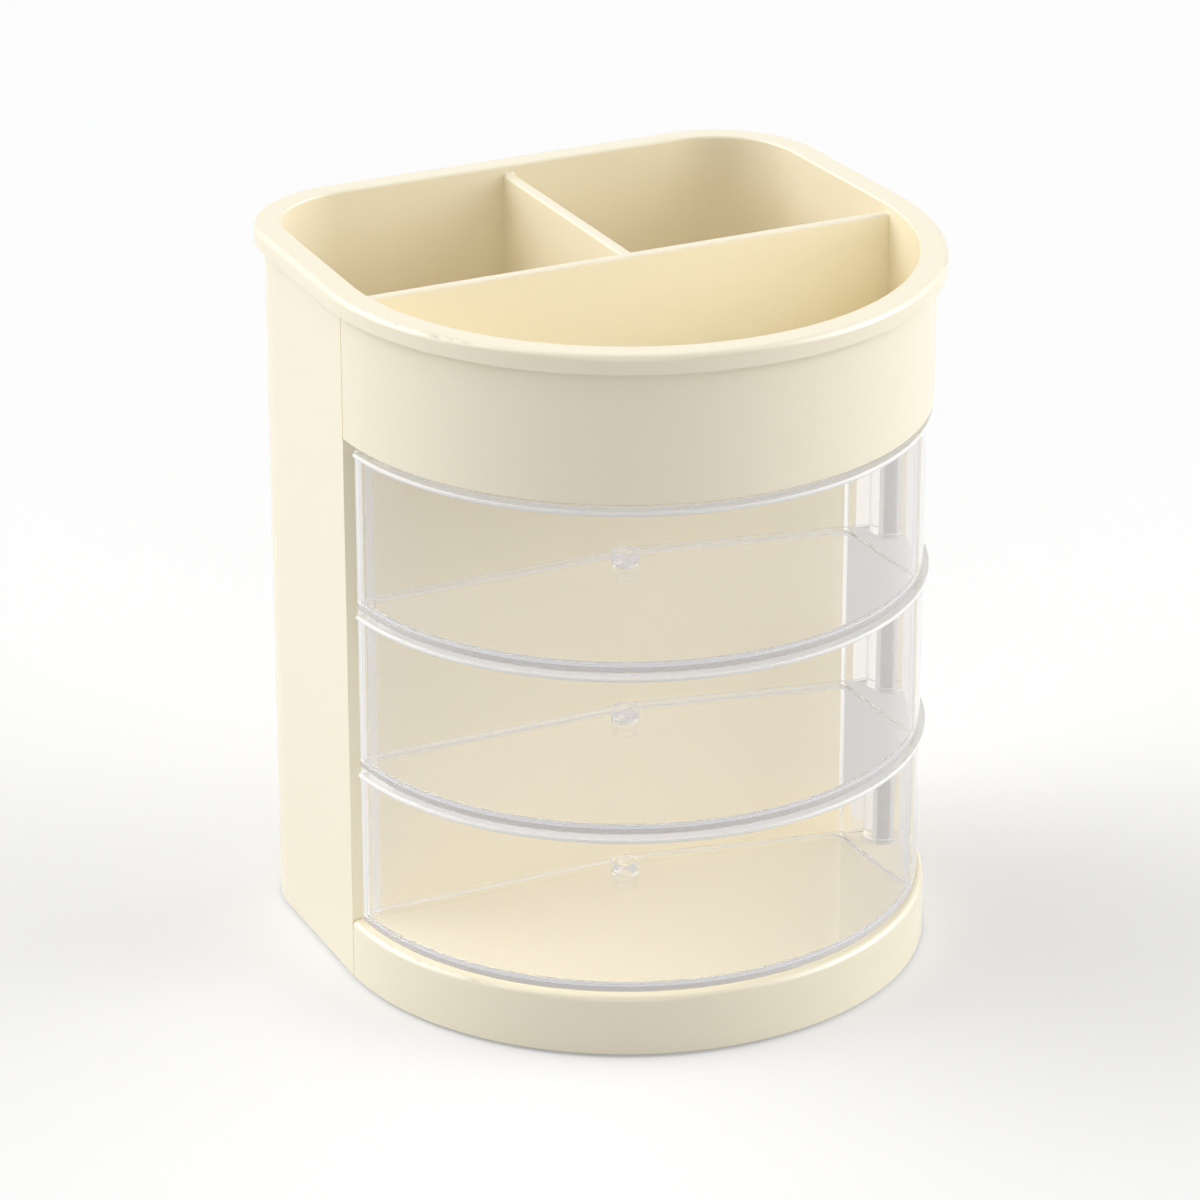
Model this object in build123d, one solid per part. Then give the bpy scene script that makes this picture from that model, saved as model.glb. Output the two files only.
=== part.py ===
from build123d import *
import math
import os

# Desk pen holder: a round-fronted housing with a pen insert on top and three clear
# half-moon trays that swing out about one upright rod at the front right.
# Millimetres, +Z up, the rounded front towards -Y. While the pieces are drawn, y = 0 is the
# seam plane where the round front meets the sides. At the end everything is moved so that
# the origin is under the middle of the finished outline, on the surface it stands on.

# Outline of the body
drum_radius = 64.6
body_depth = 60.5
side_taper = 0.034
back_corner_radius = 22.5

# Heights above the table
pad_proud = 0.8
base_height = 13.1
tray_pitch = 36.0
tray_count = 3
apron_height = 28.6
rim_height = 4.0

# Housing
housing_wall = 1.8
partition_wall = 2.2
shelf_thickness = 1.8
apron_edge_round = 0.5
seam_width = 0.4
seam_depth = 0.3

# Pen insert
insert_clearance = 0.15
insert_wall = 1.75
rim_overhang = 2.2
rim_lip_wall = 1.5
rim_plate = 1.9
rim_edge_round = 1.4
rim_inner_round = 0.6
rim_seat_gap = 0.1
divider_wall = 2.6
divider_drop = 2.0
divider_top_round = 0.6
front_floor_gap = 0.7
rear_floor_gap = 1.3
pocket_floor = 1.9
pocket_floor_round = 3.0
pocket_corner_round = 2.0

# Base
base_wall = 2.0
deck_thickness = 2.0
base_edge_round = 1.3
plug_clearance = 0.15
skirt_end_gap = 0.25
rib_wall = 1.5
rib_depth = 3.5
rib_count = 3

# Trays
tray_edge_inset = 1.5
tray_wall = 1.6
tray_floor = 1.8
tray_gap = 0.3
tray_top_gap = 1.4
tray_back_gap = 0.4
tray_corner_round = 2.4
tray_bend_round = 9.0
tray_inner_round = 2.5
tray_floor_round = 0.7
tray_base_round = 0.8
bead_height = 1.1
bead_proud = 1.3
bead_round = 0.45
end_wall_gap = 3.4
stud_radius = 3.0
stud_bore = 1.6
stud_height = 3.0
stud_x = -4.0
stud_back_gap = 6.0

# Pivot rod and its seats
rod_radius = 1.5
rod_fit = 0.06
rod_chamfer = 0.4
barrel_radius = 4.55
pivot_y = -17.0
base_socket_radius = 5.0
base_socket_depth = 9.0
top_socket_wall = 1.3
top_socket_depth = 7.0
socket_end_wall = 1.2
socket_cover_clearance = 0.3
socket_cover_round = 0.9

# Fixings and feet
screw_radius = 1.45
screw_head_radius = 2.75
screw_head_height = 2.0
screw_fit = 0.05
screw_hole_clearance = 0.25
screw_seat = 4.0
recess_width = 0.7
recess_depth = 1.1
screw_grip = 7.5
screw_boss_wall = 2.1
screw_end_gap = 1.5
head_clearance = 0.4
well_wall = 1.4
screw_tip_radius = 0.7
front_screw_inset = 25.0
rear_screw_inset = 31.0
screw_boss_inset = 1.2
screw_boss_web = 1.6
well_inset = 0.6
pad_radius = 5.5
pad_thickness = 1.4
pad_clearance = 0.15
pad_boss_wall = 1.2
front_pad_inset = 14.0
rear_pad_side_inset = 21.0
rear_pad_back_inset = 15.0

# Levels that follow from the sizes above
base_bottom = pad_proud
deck_top = base_bottom + base_height
shelf_bottom = deck_top + tray_count * tray_pitch + tray_top_gap
apron_top = shelf_bottom + apron_height
total_height = apron_top + rim_height
plate_bottom = total_height - rim_plate
housing_top = plate_bottom - rim_seat_gap
divider_top = total_height - divider_drop
shelf_top = shelf_bottom + shelf_thickness
boss_top = deck_top + screw_grip + screw_end_gap + socket_end_wall
front_floor_top = shelf_top + front_floor_gap + pocket_floor
rear_floor_top = boss_top + rear_floor_gap + pocket_floor
deck_bottom = deck_top - deck_thickness

# Plan sizes that follow
tray_radius = drum_radius - tray_edge_inset
pivot_reach = tray_radius - barrel_radius
pivot_x = math.sqrt(pivot_reach ** 2 - pivot_y ** 2)
tray_height = tray_pitch - tray_gap
insert_outer = -(housing_wall + insert_clearance)
insert_inner = insert_outer - insert_wall
plug_outer = -(housing_wall + plug_clearance)
well_radius = screw_head_radius + head_clearance
screw_boss_radius = screw_radius + screw_fit + screw_boss_wall
origin_shift = (drum_radius - body_depth) / 2
far = 3 * (drum_radius + body_depth)


def body_outline(grow):
    """The body's outline, moved outwards by grow: a half circle, two sides and a back."""
    half = drum_radius + grow
    back = body_depth + grow
    back_half = half - side_taper * back
    front = ThreePointArc((-half, 0), (0, -half), (half, 0))
    rear = Polyline((half, 0), (back_half, back), (-back_half, back), (-half, 0))
    face = make_face(front.edges() + rear.edges())
    corners = face.vertices().sort_by(Axis.Y)[-2:]
    return fillet(corners, back_corner_radius + grow)


def band(x_low, x_high, y_low, y_high):
    """A plain rectangle between two x values and two y values."""
    middle = Pos((x_low + x_high) / 2, (y_low + y_high) / 2)
    return middle * Rectangle(x_high - x_low, y_high - y_low)


def in_front_of(y):
    return band(-far, far, -far, y)


def behind(y):
    return band(-far, far, y, far)


def raised(face, low, high):
    """The face made solid between two heights."""
    return extrude(Pos(0, 0, low) * face, amount=high - low, dir=(0, 0, 1))


def upright(x, y, radius, low, high):
    """A round post between two heights."""
    return raised(Pos(x, y) * Circle(radius), low, high)


def edges_at(solid, height):
    """Edges that lie flat at a height."""
    flat = solid.edges().filter_by_position(Axis.Z, height - 0.01, height + 0.01)
    return flat


front_screw_x = drum_radius - front_screw_inset
front_screw_y = partition_wall + screw_boss_radius - screw_boss_inset
rear_screw_x = drum_radius - rear_screw_inset
rear_screw_y = body_depth + plug_outer - well_inset - well_wall - well_radius
screw_places = [
    (-front_screw_x, front_screw_y),
    (front_screw_x, front_screw_y),
    (-rear_screw_x, rear_screw_y),
    (rear_screw_x, rear_screw_y),
]

front_pad_x = (drum_radius - front_pad_inset) / math.sqrt(2)
rear_pad_x = drum_radius - rear_pad_side_inset
rear_pad_y = body_depth - rear_pad_back_inset
pad_places = {
    "front_left": (-front_pad_x, -front_pad_x),
    "front_right": (front_pad_x, -front_pad_x),
    "rear_left": (-rear_pad_x, rear_pad_y),
    "rear_right": (rear_pad_x, rear_pad_y),
}


def make_housing():
    """Back and sides down to the table, the apron round the front, the wall behind the
    trays, the shelf over them and the screw bosses inside."""
    skin = body_outline(0) - body_outline(-housing_wall)
    rear = raised(skin & behind(0), base_bottom, housing_top)
    apron = raised(skin & in_front_of(0), shelf_bottom, housing_top)
    inside = body_outline(-housing_wall / 2)
    shelf = raised(inside & in_front_of(partition_wall), shelf_bottom, shelf_top)
    partition = raised(inside & band(-far, far, 0, partition_wall), deck_top, shelf_top)
    housing = rear + apron + shelf + partition
    lower_edge = [
        e for e in edges_at(housing, shelf_bottom)
        if e.geom_type == GeomType.CIRCLE and abs(e.radius - drum_radius) < 0.01
    ]
    housing = fillet(lower_edge, apron_edge_round)
    seam = band(-far, far, -seam_width / 2, seam_width / 2) - body_outline(-seam_depth)
    housing -= raised(seam, shelf_bottom, housing_top)
    room = body_outline(-housing_wall / 2) & behind(partition_wall / 2)
    for x, y in screw_places:
        wall_y = partition_wall if y == front_screw_y else body_depth
        boss = Pos(x, y) * Circle(screw_boss_radius)
        boss += band(x - screw_boss_web / 2, x + screw_boss_web / 2, min(y, wall_y), max(y, wall_y))
        housing += raised(boss & room, deck_top, boss_top)
    for x, y in screw_places:
        housing -= upright(x, y, screw_radius + screw_fit, deck_top, boss_top - socket_end_wall)
    socket_top = shelf_bottom + top_socket_depth + socket_end_wall
    housing += upright(pivot_x, pivot_y, rod_radius + top_socket_wall, shelf_top, socket_top)
    housing -= upright(pivot_x, pivot_y, rod_radius + rod_fit,
                       shelf_bottom, shelf_bottom + top_socket_depth)
    return housing


def make_insert():
    """Rim, two deep pockets at the back, a shallow one in front, and the dividers."""
    outer = body_outline(insert_outer)
    inner = body_outline(insert_inner)
    lip_outer = body_outline(rim_overhang)
    lip_inner = body_outline(rim_overhang - rim_lip_wall)
    plate = raised(lip_outer, plate_bottom, total_height)
    lip = raised(lip_outer - lip_inner, apron_top, plate_bottom)
    rim = plate + lip
    rim = fillet(rim.faces().sort_by(Axis.Z)[-1].edges(), rim_edge_round)

    cover_radius = rod_radius + top_socket_wall + socket_cover_clearance
    cover_low = shelf_bottom + top_socket_depth + socket_end_wall + socket_cover_clearance
    front_wall = partition_wall + insert_clearance
    front_body = raised(outer & in_front_of(front_wall + insert_wall),
                        front_floor_top - pocket_floor, plate_bottom)
    rear_body = raised(outer & behind(front_wall),
                       rear_floor_top - pocket_floor, plate_bottom)
    body = rim + front_body + rear_body

    front_pocket = raised(inner & in_front_of(-divider_wall), front_floor_top, total_height)
    front_pocket = fillet(edges_at(front_pocket, front_floor_top), pocket_floor_round)
    body -= front_pocket
    cover = upright(pivot_x, pivot_y, cover_radius + pocket_floor,
                    front_floor_top - pocket_floor, cover_low + pocket_floor)
    body += cover & raised(outer, front_floor_top - pocket_floor, total_height)
    body -= upright(pivot_x, pivot_y, cover_radius, front_floor_top - far, cover_low)

    half_divider = divider_wall / 2
    for low, high in ((-far, -half_divider), (half_divider, far)):
        upper = raised(inner & band(low, high, 0, far), front_floor_top, total_height)
        lower_face = inner & band(low, high, front_wall + insert_wall, far)
        lower = raised(lower_face, rear_floor_top, front_floor_top)
        upright_edges = lower.edges().filter_by(Axis.Z).group_by(Axis.Y)[0]
        lower = fillet(upright_edges, pocket_corner_round)
        lower = fillet(edges_at(lower, rear_floor_top), pocket_floor_round)
        body -= upper
        body -= lower
    body -= raised(inner, divider_top, total_height)
    body = fillet(body.faces().sort_by(Axis.Z)[-1].inner_wires()[0].edges(), rim_inner_round)
    cover_edges = [
        e for e in edges_at(body, cover_low + pocket_floor) if e.geom_type == GeomType.CIRCLE
    ]
    body = fillet(cover_edges, socket_cover_round)
    divider_edges = [
        e for e in edges_at(body, divider_top) if e.geom_type == GeomType.LINE
    ]
    return fillet(divider_edges, divider_top_round)


def make_base():
    """Deck under the trays with a rounded skirt in front, a plug that fits up inside the
    housing behind, and ribs, screw wells, pad seats and the rod socket beneath."""
    plug = body_outline(plug_outer) & behind(-base_wall)
    front = body_outline(0) & in_front_of(-skirt_end_gap)
    deck = raised(front, deck_bottom, deck_top) + raised(plug, deck_bottom, deck_top)
    front_skirt = raised(front - body_outline(-base_wall), base_bottom, deck_bottom)
    plug_skirt = raised(plug - body_outline(plug_outer - base_wall), base_bottom, deck_bottom)
    base = deck + front_skirt + plug_skirt
    top_edge = [
        e for e in edges_at(base, deck_top)
        if e.geom_type == GeomType.CIRCLE and abs(e.radius - drum_radius) < 0.01
    ]
    base = fillet(top_edge, base_edge_round)

    inside = body_outline(plug_outer - base_wall / 2)
    rib_spacing = drum_radius * 2 / (rib_count + 1)
    for k in range(rib_count):
        middle = (k - (rib_count - 1) / 2) * rib_spacing
        across = band(-far, far, middle - rib_wall / 2, middle + rib_wall / 2)
        along = band(middle - rib_wall / 2, middle + rib_wall / 2, -far, far)
        base += raised(inside & (across + along), deck_bottom - rib_depth, deck_bottom)

    seat = deck_top - screw_seat
    for x, y in screw_places:
        base += upright(x, y, well_radius + well_wall, base_bottom + pad_proud, deck_bottom)
    for x, y in screw_places:
        base -= upright(x, y, well_radius, 0, seat)
        base -= upright(x, y, screw_radius + screw_hole_clearance, seat, deck_top)
    for x, y in pad_places.values():
        base += upright(x, y, pad_radius + pad_boss_wall, base_bottom, deck_bottom)
        base -= upright(x, y, pad_radius + pad_clearance, 0, pad_thickness)
    base += upright(pivot_x, pivot_y, base_socket_radius,
                    deck_top - base_socket_depth - socket_end_wall, deck_bottom)
    base -= upright(pivot_x, pivot_y, rod_radius + rod_fit,
                    deck_top - base_socket_depth, deck_top)
    return base


def barrel_tangent(start):
    """Where a line from start touches the hinge barrel on its rear side."""
    dx = pivot_x - start[0]
    dy = pivot_y - start[1]
    reach = math.hypot(dx, dy)
    turn = math.atan2(dy, dx) + math.asin(barrel_radius / reach)
    length = math.sqrt(reach ** 2 - barrel_radius ** 2)
    return (start[0] + length * math.cos(turn), start[1] + length * math.sin(turn))


def tray_outline():
    """Half moon with a bend in the middle of its back, where the back turns to run
    tangent to the hinge barrel at the right."""
    bend = (0, -tray_back_gap)
    touch = barrel_tangent(bend)
    left = (-math.sqrt(tray_radius ** 2 - tray_back_gap ** 2), -tray_back_gap)
    run_out = (pivot_x * tray_radius / pivot_reach, pivot_y * tray_radius / pivot_reach)
    side_angle = (math.atan2(run_out[1] - pivot_y, run_out[0] - pivot_x)
                  + math.atan2(touch[1] - pivot_y, touch[0] - pivot_x)) / 2
    side = (pivot_x + barrel_radius * math.cos(side_angle),
            pivot_y + barrel_radius * math.sin(side_angle))
    front = ThreePointArc(left, (0, -tray_radius), run_out)
    barrel = ThreePointArc(run_out, side, touch)
    back = Polyline(touch, bend, left)
    face = make_face(front.edges() + barrel.edges() + back.edges())
    corner = face.vertices().sort_by_distance(left)[0]
    face = fillet(corner, tray_corner_round)
    middle = face.vertices().sort_by_distance(bend)[0]
    return fillet(middle, tray_bend_round)


def make_tray():
    """One clear tray with its floor at z = 0."""
    outline = tray_outline()
    tray = raised(outline, 0, tray_height)
    tray = fillet(edges_at(tray, 0), tray_base_round)

    bead_face = offset(outline, amount=bead_proud, kind=Kind.ARC)
    bead_face -= Circle(tray_radius - tray_wall / 2)
    bead_face &= in_front_of(-tray_corner_round)
    bead = raised(bead_face, tray_height - bead_height, tray_height)
    bead_edges = [
        e for e in bead.edges()
        if e.geom_type == GeomType.CIRCLE and e.radius > tray_radius + bead_proud / 2
        and e.length > tray_radius
    ]
    tray += fillet(bead_edges, bead_round)

    inner = offset(outline, amount=-tray_wall)
    end_wall_x = pivot_x - barrel_radius - end_wall_gap
    cavity_face = inner & band(-far, end_wall_x - tray_wall, -far, far)
    cavity = raised(cavity_face, tray_floor, tray_height + 1)
    corners = [
        e for e in cavity.edges().filter_by(Axis.Z)
        if abs(e.center().X - (end_wall_x - tray_wall)) < 0.01
    ]
    cavity = fillet(corners, tray_inner_round)
    cavity = fillet(edges_at(cavity, tray_floor), tray_floor_round)
    tray -= cavity

    hinge_face = inner & band(end_wall_x, far, -far, far)
    hinge_face -= Pos(pivot_x, pivot_y) * Circle(barrel_radius)
    pocket = [f for f in hinge_face.faces() if f.area > tray_wall ** 2]
    for face in pocket:
        tray -= raised(face, tray_floor, tray_height + 1)
    tray -= upright(pivot_x, pivot_y, rod_radius + rod_fit, -1, tray_height + 1)

    stud_y = -(tray_back_gap + tray_wall + stud_back_gap)
    tray += upright(stud_x, stud_y, stud_radius, tray_floor / 2, tray_floor + stud_height)
    tray -= upright(stud_x, stud_y, stud_bore, tray_floor, tray_floor + stud_height)
    return tray


def make_rod():
    low = deck_top - base_socket_depth
    rod = upright(pivot_x, pivot_y, rod_radius, low, shelf_bottom + top_socket_depth - rod_chamfer)
    return chamfer(rod.edges().filter_by(GeomType.CIRCLE), rod_chamfer)


def make_screw(x, y):
    """Pan head screw with a cross recess, driven upwards from under the base."""
    seat = deck_top - screw_seat
    head_low = seat - screw_head_height
    tip = deck_top + screw_grip
    profile = Polyline(
        (0, head_low),
        (screw_head_radius, head_low),
        (screw_head_radius, seat),
        (screw_radius, seat),
        (screw_radius, tip - screw_radius),
        (screw_tip_radius, tip),
        (0, tip),
        close=True,
    )
    screw = revolve(Plane.XZ * make_face(profile), Axis.Z)
    screw = chamfer(edges_at(screw, head_low), screw_head_height / 3)
    for turn in (0, 90):
        slot = Box(screw_head_radius, recess_width, 2 * recess_depth)
        screw -= Pos(0, 0, head_low) * Rot(0, 0, turn) * slot
    return Pos(x, y) * screw.solid()


def make_pad(x, y):
    pad = upright(x, y, pad_radius, 0, pad_thickness)
    return chamfer(edges_at(pad, 0), pad_proud / 2)


def save(name, *solids):
    moved = [Pos(0, origin_shift, 0) * solid for solid in solids]
    placed = moved[0] if len(moved) == 1 else Compound(children=moved)
    export_step(placed, os.path.join("parts", name + ".step"))
    box = placed.bounding_box()
    print(name, len(placed.solids()), "solid(s), volume", round(placed.volume),
          "z", round(box.min.Z, 2), "to", round(box.max.Z, 2))


os.makedirs("parts", exist_ok=True)
save("housing", make_housing())
save("pen_insert", make_insert())
save("base", make_base())
tray = make_tray()
for level, name in enumerate(("tray_bottom", "tray_middle", "tray_top")):
    save(name, Pos(0, 0, deck_top + tray_gap + level * tray_pitch) * tray)
save("pivot_rod", make_rod())
save("base_screws", *[make_screw(x, y) for x, y in screw_places])
for place, (x, y) in pad_places.items():
    save("foot_pad_" + place, make_pad(x, y))
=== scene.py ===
"""Pen holder with three clear swing-out trays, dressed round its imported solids.

Lengths are millimetres in the drawing frame, where y = 0 is the seam between the round
front and the sides. Every mesh is written in metres in the row frame, in which that seam
lies at y = SHIFT_Y.
"""
import logging
import math
from dataclasses import dataclass, field
from enum import Enum
from typing import Any, Optional, Sequence, Union

import bpy
import numpy as np
from mathutils import Matrix, Vector
from mathutils.geometry import tessellate_polygon

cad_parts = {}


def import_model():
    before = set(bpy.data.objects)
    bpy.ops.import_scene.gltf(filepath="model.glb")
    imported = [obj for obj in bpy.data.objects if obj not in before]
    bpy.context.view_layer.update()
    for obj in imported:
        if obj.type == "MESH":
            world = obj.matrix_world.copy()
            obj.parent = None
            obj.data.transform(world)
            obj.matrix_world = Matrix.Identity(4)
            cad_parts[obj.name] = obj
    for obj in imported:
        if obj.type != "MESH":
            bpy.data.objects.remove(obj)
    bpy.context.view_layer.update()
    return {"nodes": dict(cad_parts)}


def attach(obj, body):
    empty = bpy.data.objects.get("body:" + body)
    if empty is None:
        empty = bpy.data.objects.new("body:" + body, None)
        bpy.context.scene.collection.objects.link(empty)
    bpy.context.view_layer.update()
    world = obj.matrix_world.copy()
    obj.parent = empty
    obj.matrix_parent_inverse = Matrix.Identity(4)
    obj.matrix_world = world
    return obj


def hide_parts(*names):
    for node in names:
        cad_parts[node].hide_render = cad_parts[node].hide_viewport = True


LOG = logging.getLogger("pen_holder")
Array = np.ndarray
Colour = tuple[float, float, float]
Band = tuple[float, float, float]

MM = 0.001
MM_PER_METRE = 1000.0
SHIFT_Y = 2.05
FIRST_FLOOR = 14.2
TRAY_PITCH = 36.0
MERGE_STEPS_PER_MM = 2e4
SMALLEST_AREA = 1e-7
OVERLAP = 0.01
FRONT_POINTS = 175
LEFT_PENALTY = 99
WHITE: Colour = (1.0, 1.0, 1.0)
FRAME_PIXELS = 1200


def unit(degrees: Array) -> Array:
    """Unit vectors (cos t, sin t) for angles in degrees, one row each."""
    t = np.radians(degrees)
    return np.stack([np.cos(t), np.sin(t)], axis=-1)


@dataclass(frozen=True)
class Arc:
    """A rounding in a plan curve: centre, radius, first and last angle in degrees."""

    x: float
    y: float
    radius: float
    start: float
    end: float
    steps: int


@dataclass(frozen=True)
class Outline:
    """A closed plan curve, anticlockwise, as points with their outward unit normals."""

    points: Array
    normals: Array

    @classmethod
    def of_arcs(cls, arcs: Sequence[Arc]) -> "Outline":
        """Joins arcs by straight lines.

        A point of an arc is centre + radius * (cos t, sin t), and its normal is
        (cos t, sin t). A line between two arcs has no points of its own: the caps would
        skip points in line and leave gaps. Points that repeat the one before are left out.

        Args:
            arcs: The roundings in anticlockwise order.

        Returns:
            The outline.
        """
        points, normals = [], []
        for arc in arcs:
            rays = unit(np.linspace(arc.start, arc.end, arc.steps + 1))
            points.append(np.array([arc.x, arc.y]) + arc.radius * rays)
            normals.append(rays)
        joined = np.concatenate(points)
        leaning = np.concatenate(normals)
        keep = np.linalg.norm(joined - np.roll(joined, 1, axis=0), axis=1) > 1e-6
        return cls(joined[keep], leaning[keep])

    def grown(self, amount: float) -> Array:
        """Points moved outwards: point + amount * normal."""
        return self.points + amount * self.normals


@dataclass(frozen=True)
class Section:
    """A profile across an outline: each row's growth, height and normal."""

    grow: Array
    height: Array
    lean: Array

    @classmethod
    def of_corners(
        cls, corners: Sequence[tuple[float, float, float]], steps: int = 6
    ) -> "Section":
        """Walks corners with the material on the left hand and rounds each by its radius.

        Two rows stand at a sharp corner, one with each neighbour's normal. At a rounded one
        the rows lie on the arc that touches both sides, and each normal is its ray.

        Args:
            corners: (grow, height, radius) of each corner; the first and last are ends.
            steps: How many steps a rounding has.

        Returns:
            The section.
        """
        at = np.array([c[:2] for c in corners], float)
        along = np.diff(at, axis=0)
        along /= np.linalg.norm(along, axis=1)[:, None]
        out = np.stack([along[:, 1], -along[:, 0]], axis=1)
        rows, leans = [at[:1]], [out[:1]]
        for k in range(1, len(corners) - 1):
            before, after, radius = along[k - 1], along[k], corners[k][2]
            turn = math.atan2(
                before[0] * after[1] - before[1] * after[0], float(before @ after)
            )
            if radius <= 0 or abs(turn) < 1e-6:
                rows.append(np.repeat(at[k : k + 1], 2, axis=0))
                leans.append(np.stack([out[k - 1], out[k]]))
                continue
            back = radius * math.tan(abs(turn) / 2)
            centre = at[k] - before * back - math.copysign(radius, turn) * out[k - 1]
            first = math.degrees(math.atan2(out[k - 1][1], out[k - 1][0]))
            angles = first + np.linspace(0, math.degrees(turn), steps + 1)
            rays = unit(angles)
            rows.append(centre + math.copysign(radius, turn) * rays)
            leans.append(rays)
        rows.append(at[-1:])
        leans.append(out[-1:])
        both = np.concatenate(rows)
        return cls(both[:, 0], both[:, 1], np.concatenate(leans))


class Moulding:
    """Collects surfaces with their normals, and makes one closed mesh of them."""

    def __init__(self, base: float = 0.0) -> None:
        """Starts an empty moulding whose heights count from base."""
        self.base = base
        self._corners: list[Array] = []
        self._normals: list[Array] = []

    def _add(self, corners: Array, normals: Array) -> None:
        """Keeps triangles (n, 3, 3) with a normal at each corner."""
        edge_a = corners[:, 1] - corners[:, 0]
        edge_b = corners[:, 2] - corners[:, 0]
        area = np.linalg.norm(np.cross(edge_a, edge_b), axis=1)
        self._corners.append(corners[area > SMALLEST_AREA])
        self._normals.append(normals[area > SMALLEST_AREA])

    def grid(self, points: Array, normals: Array) -> None:
        """Adds a surface given as a grid of points (rows, columns, 3).

        Each cell is two triangles, wound so that rows going up and columns going
        anticlockwise face outwards."""
        corner = [(0, 0), (0, 1), (1, 1), (1, 0)]
        rows, columns = points.shape[0] - 1, points.shape[1] - 1

        def cell(values: Array, k: int) -> Array:
            """The k-th corner of every cell."""
            a, b = corner[k]
            return values[a : a + rows, b : b + columns].reshape(-1, 3)

        for order in ((0, 1, 2), (0, 2, 3)):
            self._add(
                np.stack([cell(points, k) for k in order], axis=1),
                np.stack([cell(normals, k) for k in order], axis=1),
            )

    def loft(
        self,
        outline: Outline,
        section: Section,
        part: Optional[slice] = None,
    ) -> None:
        """Carries a section round an outline.

        The point of row v and column u is outline point u moved out by section grow v, at
        section height v; its normal is the section's, turned to face along the outline's.

        Args:
            outline: The plan curve.
            section: The profile; its material is on the left of its walk.
            part: The stretch of the outline to use; all of it, closed, if left out.
        """
        at, ray = outline.points, outline.normals
        if part is None:
            at, ray = np.vstack([at, at[:1]]), np.vstack([ray, ray[:1]])
        else:
            at, ray = at[part], ray[part]
        plan = at[None] + section.grow[:, None, None] * ray[None]
        high = np.broadcast_to(section.height[:, None, None], plan.shape[:2] + (1,))
        lean = section.lean[:, None, 0:1] * ray[None]
        rise = np.broadcast_to(section.lean[:, None, 1:2], plan.shape[:2] + (1,))
        self.grid(
            np.concatenate([plan, high], axis=2), np.concatenate([lean, rise], axis=2)
        )

    def cap(self, loops: Sequence[Array], height: float, up: bool) -> None:
        """Fills a flat face with holes at a height; the first loop is the outer one."""
        flat = [np.column_stack([loop, np.full(len(loop), height)]) for loop in loops]
        every = np.vstack(flat)
        picked = np.array(
            tessellate_polygon([[Vector(p) for p in loop] for loop in flat]), int
        )
        corners = every[picked]
        wound = np.cross(
            corners[:, 1] - corners[:, 0], corners[:, 2] - corners[:, 0]
        )[:, 2]
        wrong = (wound > 0) != up
        corners[wrong] = corners[wrong][:, ::-1]
        normal = np.array([0.0, 0.0, 1.0 if up else -1.0])
        self._add(corners, np.broadcast_to(normal, corners.shape).copy())

    def patch(self, corners: Array, normal: Array) -> None:
        """Fills a small flat convex face, given in order round normal, as a fan."""
        first = np.broadcast_to(corners[:1], (len(corners) - 2, 3))
        fan = np.stack([first, corners[1:-1], corners[2:]], axis=1)
        self._add(fan, np.broadcast_to(normal, fan.shape).copy())

    def finish(self, name: str) -> bpy.types.Object:
        """Merges equal points and puts the whole into one mesh object in metres.

        Args:
            name: The object's name.

        Returns:
            The new object, with its place in its mesh.
        """
        corners = np.concatenate(self._corners)
        normals = np.concatenate(self._normals)
        normals /= np.maximum(np.linalg.norm(normals, axis=2, keepdims=True), 1e-9)
        place = corners.reshape(-1, 3) + np.array([0.0, SHIFT_Y, self.base])
        keys = np.round(place * MERGE_STEPS_PER_MM).astype(np.int64)
        _, first, index = np.unique(
            keys, axis=0, return_index=True, return_inverse=True
        )
        triangles = index.reshape(-1, 3)
        whole = (
            (triangles[:, 0] != triangles[:, 1])
            & (triangles[:, 1] != triangles[:, 2])
            & (triangles[:, 2] != triangles[:, 0])
        )
        triangles, normals = triangles[whole], normals[whole]
        mesh = bpy.data.meshes.new(name)
        mesh.vertices.add(len(first))
        mesh.vertices.foreach_set("co", (place[first] * MM).astype(np.float32).ravel())
        mesh.loops.add(triangles.size)
        mesh.loops.foreach_set("vertex_index", triangles.astype(np.int32).ravel())
        mesh.polygons.add(len(triangles))
        mesh.polygons.foreach_set(
            "loop_start", np.arange(0, triangles.size, 3, dtype=np.int32)
        )
        mesh.update(calc_edges=True)
        mesh.validate(verbose=False)
        mesh.polygons.foreach_set("use_smooth", np.ones(len(mesh.polygons), bool))
        if len(mesh.polygons) == len(triangles):
            mesh.normals_split_custom_set(normals.reshape(-1, 3).tolist())
        piece = bpy.data.objects.new(name, mesh)
        bpy.context.scene.collection.objects.link(piece)
        return piece


def edge_faults(mesh: bpy.types.Mesh) -> int:
    """How many edges don't have exactly two faces."""
    count = np.zeros(len(mesh.edges), np.int32)
    edges = np.zeros(len(mesh.loops), np.int32)
    mesh.loops.foreach_get("edge_index", edges)
    np.add.at(count, edges, 1)
    return int((count != 2).sum())


Plug = Union["Wire", bpy.types.NodeSocket, float, int, tuple]


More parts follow.
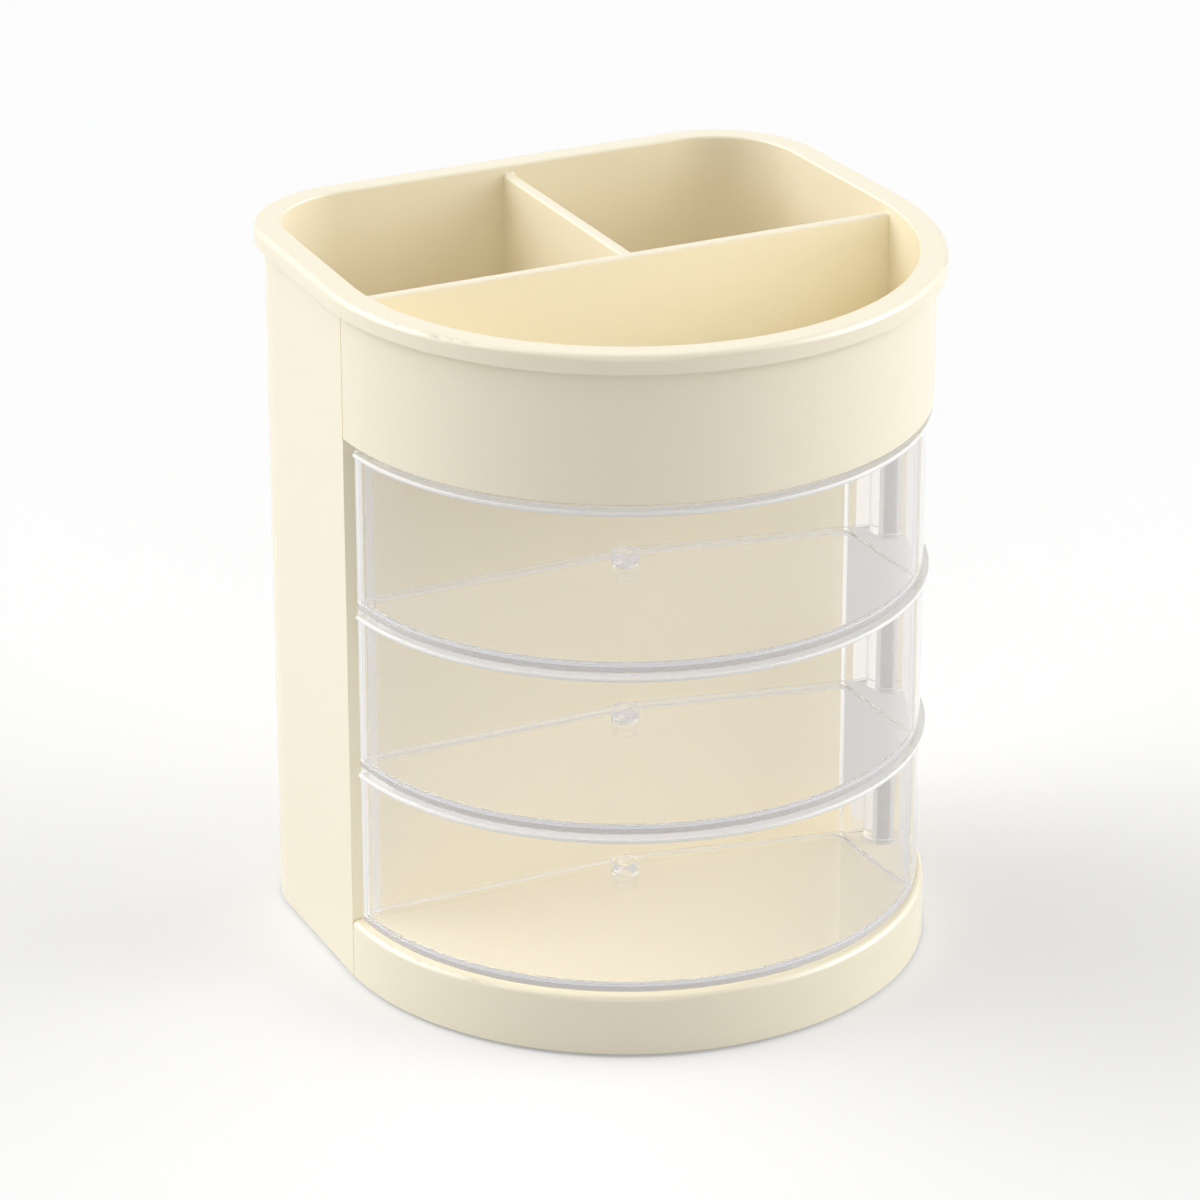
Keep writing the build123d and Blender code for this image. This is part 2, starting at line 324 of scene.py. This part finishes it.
class Wire:
    """A shader value. Arithmetic on it adds Math nodes to its graph."""

    def __init__(self, graph: "Graph", socket: bpy.types.NodeSocket) -> None:
        """Wraps an output socket of a graph's node."""
        self.graph = graph
        self.socket = socket

    def _math(self, operation: str, *values: Plug) -> "Wire":
        """One Math node over the values."""
        settings = {"operation": operation}
        sockets = dict(enumerate(values))
        return self.graph.node("ShaderNodeMath", settings, sockets)

    def __add__(self, other: Plug) -> "Wire":
        """self + other."""
        return self._math("ADD", self, other)

    def __radd__(self, other: Plug) -> "Wire":
        """other + self."""
        return self._math("ADD", other, self)

    def __sub__(self, other: Plug) -> "Wire":
        """self - other."""
        return self._math("SUBTRACT", self, other)

    def __rsub__(self, other: Plug) -> "Wire":
        """other - self."""
        return self._math("SUBTRACT", other, self)

    def __mul__(self, other: Plug) -> "Wire":
        """self * other."""
        return self._math("MULTIPLY", self, other)

    def __rmul__(self, other: Plug) -> "Wire":
        """other * self."""
        return self._math("MULTIPLY", other, self)

    def __truediv__(self, other: Plug) -> "Wire":
        """self / other."""
        return self._math("DIVIDE", self, other)

    def __rtruediv__(self, other: Plug) -> "Wire":
        """other / self."""
        return self._math("DIVIDE", other, self)

    def __pow__(self, other: Plug) -> "Wire":
        """self to the power of other."""
        return self._math("POWER", self, other)

    def modulo(self, other: Plug) -> "Wire":
        """What is left over of whole steps."""
        return self._math("FLOORED_MODULO", self, other)

    def band(self, low: float, high: float, blur: float) -> "Wire":
        """1 between two limits and 0 outside them, with soft edges inside the limits."""
        return ((self - low) / blur).clipped() * ((high - self) / blur).clipped()

    def clipped(self) -> "Wire":
        """self held between 0 and 1."""
        return self._math("MINIMUM", self._math("MAXIMUM", self, 0.0), 1.0)

    def part(self, name: str) -> "Wire":
        """Another output of the same node."""
        return Wire(self.graph, self.socket.node.outputs[name])


class Graph:
    """A node tree that is filled in by one method."""

    def __init__(self, tree: bpy.types.NodeTree) -> None:
        """Empties the tree."""
        self.tree = tree
        self.tree.nodes.clear()

    def node(
        self,
        kind: str,
        settings: Optional[dict[str, Any]] = None,
        sockets: Optional[dict[Union[str, int], Plug]] = None,
        output: Union[str, int] = 0,
    ) -> Wire:
        """Adds a node, its settings first, then its sockets' values and links.

        Args:
            kind: The node's type.
            settings: Attributes by name.
            sockets: Values or wires by input name or number.
            output: Which output the wire carries.

        Returns:
            The wire of that output.
        """
        made = self.tree.nodes.new(kind)
        for name, value in (settings or {}).items():
            setattr(made, name, value)
        for key, value in (sockets or {}).items():
            socket = made.inputs[key]
            if isinstance(value, Wire):
                self.tree.links.new(value.socket, socket)
            elif isinstance(value, tuple) and socket.type == "RGBA":
                socket.default_value = tuple(value) + (1.0,) * (4 - len(value))
            else:
                socket.default_value = value
        if not made.outputs:
            return Wire(self, None)
        return Wire(self, made.outputs[output])

    def mix(self, share: Plug, a: Plug, b: Plug) -> Wire:
        """The colour between a and b by share."""
        settings = {"data_type": "RGBA"}
        return self.node("ShaderNodeMix", settings, {0: share, 6: a, 7: b}, 2)

    def blend(self, share: Plug, a: Wire, b: Wire) -> Wire:
        """The shader between a and b by share."""
        return self.node("ShaderNodeMixShader", None, {0: share, 1: a, 2: b})

    def noise(self, place: Wire, scale: float, detail: float) -> Wire:
        """Noise over a place, about 0.5 on average."""
        sockets = {"Vector": place, "Scale": scale, "Detail": detail}
        return self.node("ShaderNodeTexNoise", None, sockets)

    def place(self) -> Wire:
        """Object coordinates, in metres."""
        return self.node("ShaderNodeTexCoord", output="Object")

    def bump(self, height: Wire, strength: float, distance: float) -> Wire:
        """A normal from a height."""
        sockets = {"Height": height, "Strength": strength, "Distance": distance}
        return self.node("ShaderNodeBump", None, sockets)

    def surface(self, shader: Wire) -> None:
        """Links a shader to the output."""
        kind = (
            "ShaderNodeOutputWorld"
            if isinstance(self.tree.id_data, bpy.types.World)
            else "ShaderNodeOutputMaterial"
        )
        self.node(kind, None, {"Surface": shader})


@dataclass(frozen=True)
class Finish:
    """What every finish shares: a name and a material made once."""

    name: str

    def material(self) -> bpy.types.Material:
        """The finish's material, made on its first use."""
        known = bpy.data.materials.get(self.name)
        if known is not None:
            return known
        made = bpy.data.materials.new(self.name)
        made.use_nodes = True
        self.fill(Graph(made.node_tree))
        return made

    def fill(self, graph: Graph) -> None:
        """Builds the nodes; each finish has its own."""
        raise NotImplementedError


@dataclass(frozen=True)
class SatinPlastic(Finish):
    """Opaque moulded plastic: even colour with a faint cloud, and a fine moulded skin."""

    colour: Colour = (0.965, 0.887, 0.682)
    cloud: Colour = (0.972, 0.896, 0.698)
    roughness: float = 0.24
    grain: float = 5200.0
    flow: float = 38.0

    def fill(self, graph: Graph) -> None:
        """Cloud in the colour and gloss, grain in the normal."""
        place = graph.place()
        flow = graph.noise(place, self.flow, 3.0)
        grain = graph.noise(place, self.grain, 2.0)
        colour = graph.mix(flow, self.colour, self.cloud)
        rough = self.roughness + 0.05 * (flow - 0.5) + 0.03 * (grain - 0.5)
        shader = graph.node(
            "ShaderNodeBsdfPrincipled",
            None,
            {
                "Base Color": colour,
                "Roughness": rough,
                "IOR": 1.59,
                "Specular IOR Level": 1.0,
                "Normal": graph.bump(grain, 0.06, 0.0001),
            },
        )
        graph.surface(shader)


@dataclass(frozen=True)
class ClearPlastic(Finish):
    """Clear polystyrene: full transmission, with slight flow waves in its skin, and painted
    highlights and painted shade in bands at the edges of a tray. A band is (low, high,
    blur) in millimetres."""

    colour: Colour = (0.998, 0.988, 0.972)
    # painted highlight: the pale colour drawn into bands at the tray's edges
    painted_highlight_colour: Colour = (0.97, 0.97, 0.97)
    # painted shade: the darker colour drawn into the floor's rim band
    painted_rim_shade: Colour = (0.6, 0.55, 0.52)
    # painted glow: the colour a ray gives off once it has gone too deep in the plastic
    painted_glow_colour: Colour = (0.64, 0.63, 0.64)
    roughness: float = 0.015
    painted_band_roughness: float = 0.15
    waves: float = 60.0
    slow: float = 14.0
    deepest: float = 5.0
    # where the painted highlights and painted shade lie, as bands
    front: Band = (62.0, 66.0, 0.3)
    rim: Band = (0.06, 1.74, 0.3)
    foot: Band = (1.83, 2.25, 0.1)
    bead: Band = (34.5, 35.67, 0.1)
    bead_top: Band = (35.67, 35.9, 0.02)
    corner_x: Band = (-65.0, -61.0, 0.3)
    corner_y: Band = (-2.4, 2.5, 0.4)
    crease_x: Band = (-60.3, -58.0, 0.5)
    crease_y: Band = (-0.5, 0.4, 0.1)

    def edges(self, graph: Graph, place: Wire) -> tuple[Wire, Wire]:
        """How much painted highlight and painted shade a place gets.

        Bands of height in each tray take in the floor's rim, the foot of the walls and the
        bead, where pale painted highlights stand in for the light seen there through the
        plastic; two upright bands of painted highlight stand at the left-hand corner. The
        height is what is left of z over the first tray's underside after whole tray
        pitches, and a place is on the front where its distance from the upright axis is in
        the front band. The rim also gets a darker, duller colour as painted shade, and a
        slow noise along it makes it lighter and darker.

        Args:
            graph: The material's graph.
            place: Object coordinates, in metres.

        Returns:
            The share of the painted bands, and the share of painted shade in them.
        """
        spot = graph.node("ShaderNodeSeparateXYZ", None, {0: place}, output="X")
        x, y, z = (MM_PER_METRE * wire for wire in (spot, spot.part("Y"), spot.part("Z")))
        height = (z - FIRST_FLOOR).modulo(TRAY_PITCH)
        depth = y - SHIFT_Y
        front = ((x * x + depth * depth) ** 0.5).band(*self.front)
        rim = front * height.band(*self.rim)
        slow = graph.noise(place, self.slow, 0.0)
        # painted highlights and painted shade: bands on the floor's rim, the walls' foot,
        # the bead and the left-hand corner
        painted_bands = (
            rim * (0.35 + 0.6 * slow)
            + 0.75 * height.band(*self.foot)
            + front
            * (0.85 * height.band(*self.bead) + 0.35 * height.band(*self.bead_top))
            + 0.75 * x.band(*self.corner_x) * y.band(*self.corner_y)
            + 0.8 * x.band(*self.crease_x) * y.band(*self.crease_y)
        ).clipped()
        # the rim's share of painted shade
        return painted_bands, rim * (1.5 - 1.2 * slow)

    def fill(self, graph: Graph) -> None:
        """Glass with painted highlights and painted shade in bands at its edges for sight,
        nothing at all for shadows and diffuse light, so that light reaches inside, and a
        painted glow, an even pale emission, for a ray that has gone deeper than it needs
        to."""
        place = graph.place()
        waves = graph.noise(place, self.waves, 0.0)
        normal = graph.bump(waves, 0.03, 0.0002)
        glass = graph.node(
            "ShaderNodeBsdfPrincipled",
            None,
            {
                "Base Color": self.colour,
                "Roughness": self.roughness + 0.01 * waves,
                "IOR": 1.5,
                "Specular IOR Level": 0.8,
                "Transmission Weight": 1.0,
                "Normal": normal,
            },
        )
        share, painted_shade_share = self.edges(graph, place)
        # painted highlight and painted shade: a pale rough surface mixed into the glass
        # along the bands
        painted_bands = graph.node(
            "ShaderNodeBsdfPrincipled",
            None,
            {
                "Base Color": graph.mix(painted_shade_share.clipped(), self.painted_highlight_colour, self.painted_rim_shade),
                "Roughness": self.painted_band_roughness,
                "Normal": normal,
            },
        )
        glass_with_painted_bands = graph.blend(share, glass, painted_bands)
        path = graph.node("ShaderNodeLightPath", output="Is Shadow Ray")
        deep = (path.part("Ray Depth") - self.deepest).clipped()
        # painted glow: emission in place of the light a deep ray would bring
        painted_glow = graph.node("ShaderNodeEmission", None, {"Color": self.painted_glow_colour})
        clear = graph.node("ShaderNodeBsdfTransparent", None, {"Color": WHITE})
        passing = (path + path.part("Is Diffuse Ray")).clipped()
        graph.surface(graph.blend(passing, graph.blend(deep, glass_with_painted_bands, painted_glow), clear))


@dataclass(frozen=True)
class DrawnSteel(Finish):
    """Bright steel with marks along or round its axis."""

    colour: Colour = (0.62, 0.63, 0.65)
    roughness: float = 0.24
    stretch: tuple[float, float, float] = (1.0, 1.0, 40.0)

    def fill(self, graph: Graph) -> None:
        """Stretched noise drives the gloss and a fine bump."""
        turned = graph.node(
            "ShaderNodeMapping",
            None,
            {"Vector": graph.place(), "Scale": self.stretch},
        )
        marks = graph.noise(turned, 900.0, 3.0)
        colour = graph.mix(marks, self.colour, tuple(0.9 * c for c in self.colour))
        shader = graph.node(
            "ShaderNodeBsdfPrincipled",
            None,
            {
                "Base Color": colour,
                "Metallic": 1.0,
                "Roughness": self.roughness + 0.12 * (marks - 0.5),
                "Normal": graph.bump(marks, 0.1, 0.00005),
            },
        )
        graph.surface(shader)


@dataclass(frozen=True)
class FootRubber(Finish):
    """Matt soft rubber with a slight dust cloud."""

    colour: Colour = (0.50, 0.49, 0.46)

    def fill(self, graph: Graph) -> None:
        """Two noises: dust in the colour, pores in the normal."""
        place = graph.place()
        dust = graph.noise(place, 260.0, 4.0)
        pores = graph.noise(place, 4000.0, 2.0)
        shader = graph.node(
            "ShaderNodeBsdfPrincipled",
            None,
            {
                "Base Color": graph.mix(dust, self.colour, (0.58, 0.57, 0.54)),
                "Roughness": 0.72 + 0.16 * (dust - 0.5),
                "Normal": graph.bump(pores, 0.2, 0.0001),
            },
        )
        graph.surface(shader)


@dataclass(frozen=True)
class StudioPaper(Finish):
    """The pale floor."""

    colour: Colour = (0.5, 0.5, 0.5)
    seen_colour: Colour = (0.945, 0.945, 0.945)
    veil: float = 0.25

    def fill(self, graph: Graph) -> None:
        """Matt and pale: lighter, and veiled by plain white, where it is seen directly or
        in a gloss, so that little of its light falls back on the object."""
        path = graph.node("ShaderNodeLightPath", output="Is Camera Ray")
        seen = (path + path.part("Is Glossy Ray")).clipped()
        paper = graph.node(
            "ShaderNodeBsdfPrincipled",
            None,
            {
                "Base Color": graph.mix(seen, self.colour, self.seen_colour),
                "Roughness": 0.9,
                "Specular IOR Level": 0.0,
            },
        )
        white = graph.node("ShaderNodeEmission", None, {"Color": WHITE})
        graph.surface(graph.blend(self.veil * seen, paper, white))


CREAM = SatinPlastic("cream_moulding")
CLEAR = ClearPlastic("clear_styrene")
ROD_STEEL = DrawnSteel("rod_bright_steel")
SCREW_STEEL = DrawnSteel("screw_bright_steel", roughness=0.3, stretch=(1.0, 1.0, 6.0))
RUBBER = FootRubber("foot_soft_rubber")
PAPER = StudioPaper("studio_paper")


def dress(piece: bpy.types.Object, finish: Finish) -> None:
    """Puts one finish on every material slot of a piece."""
    slots = piece.data.materials
    if not len(slots):
        slots.append(None)
    for k in range(len(slots)):
        slots[k] = finish.material()


class Level(Enum):
    """Which tray."""

    BOTTOM = 0
    MIDDLE = 1
    TOP = 2


@dataclass
class Tray:
    """A half-moon tray, clear, hung on the rod at its right-hand corner."""

    level: Level
    height: float = 35.7
    radius: float = 63.1
    wall: float = 1.6
    floor: float = 1.8
    back_gap: float = 0.4
    corner: float = 2.4
    bend: float = 9.0
    barrel: float = 4.55
    pivot_y: float = -17.0
    rod_hole: float = 1.56
    end_wall_gap: float = 3.4
    inner_round: float = 2.5
    floor_round: float = 0.7
    base_round: float = 0.8
    bead_height: float = 1.1
    bead_proud: float = 1.3
    bead_round: float = 0.45
    bead_end_y: float = -12.5
    stud_x: float = -4.0
    stud_gap: float = 6.0
    stud_radius: float = 3.0
    stud_well: float = 1.6
    stud_height: float = 3.0
    stud_round: float = 0.3
    stud_flare: float = 0.2
    name: str = field(init=False)

    def __post_init__(self) -> None:
        """Works out the places that follow from the sizes."""
        self.name = "tray_" + self.level.name.lower()
        reach = self.radius - self.barrel
        self.pivot = np.array([math.sqrt(reach**2 - self.pivot_y**2), self.pivot_y])
        self.run_out = math.degrees(math.atan2(self.pivot[1], self.pivot[0]))
        vertex = np.array([0.0, -self.back_gap])
        to_pivot = self.pivot - vertex
        self.slope = (
            math.degrees(math.atan2(to_pivot[1], to_pivot[0]))
            + 90
            + math.degrees(math.asin(self.barrel / float(np.linalg.norm(to_pivot))))
        )
        half = math.radians((90 - self.slope) / 2)
        middle = unit(np.array((90 + self.slope) / 2))
        self.bend_centre = vertex - self.bend / math.cos(half) * middle
        corner_y = -self.back_gap - self.corner
        corner_x = -math.sqrt((self.radius - self.corner) ** 2 - corner_y**2)
        self.corner_centre = np.array([corner_x, corner_y])
        self.corner_angle = 180 + math.degrees(math.atan2(-corner_y, -corner_x))

    def outline(self) -> Outline:
        """The half moon: front arc, hinge barrel, bend of the back, left corner."""
        return Outline.of_arcs(
            [
                Arc(0, 0, self.radius, self.corner_angle, 360 + self.run_out, 150),
                Arc(*self.pivot, self.barrel, self.run_out, self.slope, 24),
                Arc(*self.bend_centre, self.bend, self.slope, 90, 6),
                Arc(*self.corner_centre, self.corner, 90, self.corner_angle, 20),
            ]
        )

    def cavity(self) -> Outline:
        """The room inside: the same curve a wall further in, closed by the end wall."""
        inner = self.radius - self.wall
        end_x = self.pivot[0] - self.barrel - self.end_wall_gap - self.wall
        low = end_x - self.inner_round
        front_y = -math.sqrt((inner - self.inner_round) ** 2 - low**2)
        front_angle = math.degrees(math.atan2(front_y, low))
        ray = unit(np.array(self.slope))
        reach = self.barrel - self.wall - self.inner_round
        back_y = self.pivot[1] + (reach - (low - self.pivot[0]) * ray[0]) / ray[1]
        return Outline.of_arcs(
            [
                Arc(0, 0, inner, self.corner_angle, 360 + front_angle, 130),
                Arc(low, front_y, self.inner_round, front_angle, 0, 8),
                Arc(low, back_y, self.inner_round, 0, self.slope, 12),
                Arc(*self.bend_centre, self.bend - self.wall, self.slope, 90, 6),
                Arc(
                    *self.corner_centre,
                    self.corner - self.wall,
                    90,
                    self.corner_angle,
                    16,
                ),
            ]
        )

    def hinge_pocket(self) -> Outline:
        """The narrow well between the end wall and the barrel, with sharp corners."""
        inner = self.radius - self.wall
        x = float(self.pivot[0] - self.barrel - self.end_wall_gap)
        ray = unit(np.array(self.slope))
        depth = self.barrel - self.wall
        top_y = self.pivot[1] + (depth - (x - self.pivot[0]) * ray[0]) / ray[1]
        low_y = -math.sqrt(inner**2 - x**2)
        half = math.degrees(math.acos(depth / self.barrel))
        reach = float(np.linalg.norm(self.pivot))
        cosine = (reach**2 + self.barrel**2 - inner**2) / (2 * reach * self.barrel)
        swing = math.degrees(math.acos(cosine))
        towards = self.run_out + 180
        barrel_low, barrel_top = towards + swing, self.slope + half
        low_point = self.pivot + self.barrel * unit(np.array(barrel_low))
        stop = math.degrees(math.atan2(low_point[1], low_point[0]))
        front = np.linspace(math.degrees(math.atan2(low_y, x)), stop, 12)
        turned = np.linspace(barrel_low, barrel_top, 24)
        runs = [
            (inner * unit(front), unit(front)),
            (self.pivot + self.barrel * unit(turned), -unit(turned)),
            (np.array([[x, top_y]]), ray[None]),
            (np.array([[x, top_y], [x, low_y]]), np.array([[-1.0, 0.0]] * 2)),
        ]
        return Outline(
            np.concatenate([r[0] for r in runs]), np.concatenate([r[1] for r in runs])
        )

    @staticmethod
    def ring(x: float, y: float, radius: float, steps: int = 48) -> Outline:
        """A circle."""
        rays = unit(np.arange(steps) * 360.0 / steps)
        return Outline(np.array([x, y]) + radius * rays, rays)

    @staticmethod
    def hollow(outline: Outline) -> Outline:
        """The same curve as the edge of a hole: walked clockwise, normals inwards."""
        return Outline(outline.points[::-1], -outline.normals[::-1])

    def sides(self, body: Moulding, outer: Outline) -> None:
        """The outer walls, with the bead round the front.

        The bead ends at the outline's point nearest to bead_end_y, looked for on the right
        among the front arc's and the barrel's points.

        Args:
            body: The moulding that takes the surfaces.
            outer: The tray's outline.
        """
        top, lip = self.height, self.height - self.bead_height
        skirt = [
            (-self.base_round - OVERLAP, 0, 0),
            (0, 0, self.base_round),
            (0, lip, 0),
        ]
        body.loft(outer, Section.of_corners(skirt))
        bead = Section.of_corners(
            [
                (0, lip, 0),
                (self.bead_proud, lip, self.bead_round),
                (self.bead_proud, top, self.bead_round),
                (0, top, 0),
            ]
        )
        right = outer.points[:FRONT_POINTS]
        miss = np.abs(right[:, 1] - self.bead_end_y) + LEFT_PENALTY * (right[:, 0] < 0)
        last = int(np.argmin(miss))
        body.loft(outer, bead, slice(0, last + 1))
        rest = np.r_[np.arange(last, len(outer.points)), 0]
        body.loft(
            Outline(outer.points[rest], outer.normals[rest]),
            Section.of_corners([(0, lip, 0), (0, top, 0)]),
            slice(None),
        )
        for k, side in ((0, 1), (last, -1)):
            plan = outer.points[k] + bead.grow[:, None] * outer.normals[k]
            face = np.column_stack([plan, bead.height])
            ahead = side * np.array([outer.normals[k][1], -outer.normals[k][0], 0.0])
            wound = float(np.cross(face[1] - face[0], face[4] - face[0]) @ ahead)
            body.patch(face if wound > 0 else face[::-1], ahead)

    def room(self, body: Moulding, cavity: Outline) -> None:
        """The room inside, rounded at its foot, with the ring stud on its floor.

        Args:
            body: The moulding that takes the surfaces.
            cavity: The room's plan.
        """
        foot = [
            (self.floor_round + OVERLAP, self.floor, 0),
            (0, self.floor, self.floor_round),
            (0, self.height, 0),
        ]
        body.loft(self.hollow(cavity), Section.of_corners(foot))
        stud_y = -(self.back_gap + self.wall + self.stud_gap)
        stud = self.ring(self.stud_x, stud_y, self.stud_radius)
        well = self.ring(self.stud_x, stud_y, self.stud_well)
        inner = cavity.grown(-self.floor_round - OVERLAP)
        body.cap([inner, stud.points], self.floor, True)
        rim = self.floor + self.stud_height
        inwards = self.stud_well - self.stud_radius + self.stud_flare
        crown = [(0, self.floor, 0), (0, rim, self.stud_round), (inwards, rim, 0)]
        body.loft(stud, Section.of_corners(crown, 3))
        body.cap([stud.grown(inwards), well.points], rim, True)
        shaft = Section.of_corners([(0, self.floor, 0), (0, rim, 0)])
        body.loft(self.hollow(well), shaft)
        body.cap([well.points], self.floor, True)

    def build(self) -> bpy.types.Object:
        """Makes the tray's closed skin.

        Returns:
            The tray, dressed, on its body and in its node's place.
        """
        body = Moulding(FIRST_FLOOR + TRAY_PITCH * self.level.value)
        outer, cavity, pocket = self.outline(), self.cavity(), self.hinge_pocket()
        self.sides(body, outer)
        top = self.height
        bore = self.ring(*self.pivot, self.rod_hole)
        body.cap([outer.points, cavity.points, pocket.points, bore.points], top, True)
        body.cap([outer.grown(-self.base_round - OVERLAP), bore.points], 0, False)
        body.loft(self.hollow(bore), Section.of_corners([(0, 0, 0), (0, top, 0)]))
        self.room(body, cavity)
        well = Section.of_corners([(0, self.floor, 0), (0, top, 0)])
        body.loft(self.hollow(pocket), well)
        body.cap([pocket.points], self.floor, True)
        piece = body.finish(self.name + "_clear")
        dress(piece, CLEAR)
        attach(piece, self.name)
        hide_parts(self.name)
        faces, open_edges = len(piece.data.polygons), edge_faults(piece.data)
        LOG.info("%s: %d faces, %d open edges", piece.name, faces, open_edges)
        return piece


@dataclass
class Carcass:
    """The opaque mouldings and the metal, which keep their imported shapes."""

    finishes: dict[str, Finish] = field(
        default_factory=lambda: {
            "housing": CREAM,
            "pen_insert": CREAM,
            "base": CREAM,
            "pivot_rod": ROD_STEEL,
            "base_screws": SCREW_STEEL,
            "foot_pad_front_left": RUBBER,
            "foot_pad_front_right": RUBBER,
            "foot_pad_rear_left": RUBBER,
            "foot_pad_rear_right": RUBBER,
        }
    )

    def build(self, nodes: dict[str, bpy.types.Object]) -> None:
        """Dresses each node."""
        for name, finish in self.finishes.items():
            dress(nodes[name], finish)
            LOG.info("%s: dressed in %s", name, finish.name)


@dataclass(frozen=True)
class Glow:
    """A soft patch of light on the dome, in degrees: azimuth from the camera's side towards
    the picture's right, and elevation."""

    azimuth: float
    elevation: float
    strength: float
    narrow: float = 12.0

    def towards(self, yaw: float) -> tuple[float, float, float]:
        """Its direction from the object, for a camera that looks along yaw."""
        turn, rise = math.radians(self.azimuth - yaw), math.radians(self.elevation)
        return (
            math.sin(turn) * math.cos(rise),
            -math.cos(turn) * math.cos(rise),
            math.sin(rise),
        )


GLOWS = (
    Glow(0, 12, 0.7),
    Glow(90, 12, 3.17),
    Glow(-90, 12, 1.95),
    Glow(120, 12, 1.28),
    Glow(-120, 12, 1.01),
    Glow(0, 32, 0.98),
    Glow(90, 32, 1.81),
    Glow(-90, 32, 1.5),
    Glow(120, 32, 0.74),
    Glow(-120, 32, 1.1),
    Glow(90, 52, 0.46),
    Glow(-90, 52, 1.25),
    Glow(-120, 52, 0.8),
)


@dataclass
class Studio:
    """Floor, light and camera."""

    floor_half: float = 6.0
    eye: tuple[float, float, float] = (-474.93, -954.69, 529.5)
    yaw: float = 26.111
    pitch: float = 23.019
    roll: float = -0.057
    focal_pixels: float = 5453.3
    sensor: float = 36.0
    clear_bounces: int = 12
    soft_bounces: int = 8
    clear_walls: int = 16
    backdrop: Glow = Glow(180, 22, 0.9, 3.0)

    def build(self) -> None:
        """Sets all three up, with long enough light paths for clear walls in pockets."""
        paths = bpy.context.scene.cycles
        paths.max_bounces = paths.transmission_bounces = self.clear_bounces
        paths.diffuse_bounces = paths.glossy_bounces = self.soft_bounces
        paths.transparent_max_bounces = self.clear_walls
        self.floor()
        self.sky()
        self.camera()

    def floor(self) -> None:
        """A wide flat sheet at z = 0."""
        h = self.floor_half
        mesh = bpy.data.meshes.new("studio_floor")
        corners = [(-h, -h, 0), (h, -h, 0), (h, h, 0), (-h, h, 0)]
        mesh.from_pydata(corners, [], [(0, 1, 2, 3)])
        floor = bpy.data.objects.new("studio_floor", mesh)
        bpy.context.scene.collection.objects.link(floor)
        dress(floor, PAPER)
        LOG.info("studio_floor: laid")

    def sky(self) -> None:
        """A dark dome with soft patches of light.

        The light from a direction is the sum over the patches of
        strength * facing ** narrow, where facing is the cosine between both directions,
        held between 0 and 1. What is seen directly or through clear plastic is plain white,
        and a gloss also sees the backdrop behind the object."""
        world = bpy.data.worlds.new("studio_dome")
        bpy.context.scene.world = world
        world.use_nodes = True
        graph = Graph(world.node_tree)
        seen = graph.node("ShaderNodeTexCoord", output="Generated")

        def patch(glow: Glow) -> Wire:
            """The light of one patch."""
            facing = graph.node(
                "ShaderNodeVectorMath",
                {"operation": "DOT_PRODUCT"},
                {0: seen, 1: glow.towards(self.yaw)},
                "Value",
            )
            return glow.strength * facing.clipped() ** glow.narrow

        path = graph.node("ShaderNodeLightPath", output="Is Camera Ray")
        light = patch(self.backdrop) * path.part("Is Glossy Ray")
        for glow in GLOWS:
            light = patch(glow) + light
        dome = graph.node(
            "ShaderNodeBackground", None, {"Color": WHITE, "Strength": light}
        )
        white = graph.node("ShaderNodeBackground", None, {"Color": WHITE, "Strength": 1.0})
        shown = (path + path.part("Is Transmission Ray")).clipped()
        graph.surface(graph.blend(shown, dome, white))

    def camera(self) -> None:
        """Places the camera from its measured turn, tilt and roll."""
        yaw, pitch, roll = (math.radians(v) for v in (self.yaw, self.pitch, self.roll))
        ahead = Vector(
            (
                math.sin(yaw) * math.cos(pitch),
                math.cos(yaw) * math.cos(pitch),
                -math.sin(pitch),
            )
        )
        right = Vector((math.cos(yaw), -math.sin(yaw), 0.0))
        up = right.cross(ahead)
        turned_right = math.cos(roll) * right + math.sin(roll) * up
        turned_up = -math.sin(roll) * right + math.cos(roll) * up
        lens = bpy.data.cameras.new("studio_camera")
        lens.sensor_width = self.sensor
        lens.lens = self.focal_pixels / FRAME_PIXELS * self.sensor
        lens.clip_start, lens.clip_end = 0.05, 50.0
        eye = bpy.data.objects.new("studio_camera", lens)
        turn = Matrix((turned_right, turned_up, -ahead)).transposed()
        eye.matrix_world = Matrix.Translation(Vector(self.eye) * MM) @ turn.to_4x4()
        bpy.context.scene.collection.objects.link(eye)
        bpy.context.scene.camera = eye


def main() -> None:
    """Builds the object round its frame."""
    logging.basicConfig(level=logging.INFO, format="%(name)s %(message)s")
    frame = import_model()
    bpy.context.scene.view_settings.view_transform = "Standard"
    Studio().build()
    Carcass().build(frame["nodes"])
    for level in Level:
        Tray(level).build()


if __name__ == "__main__":
    main()
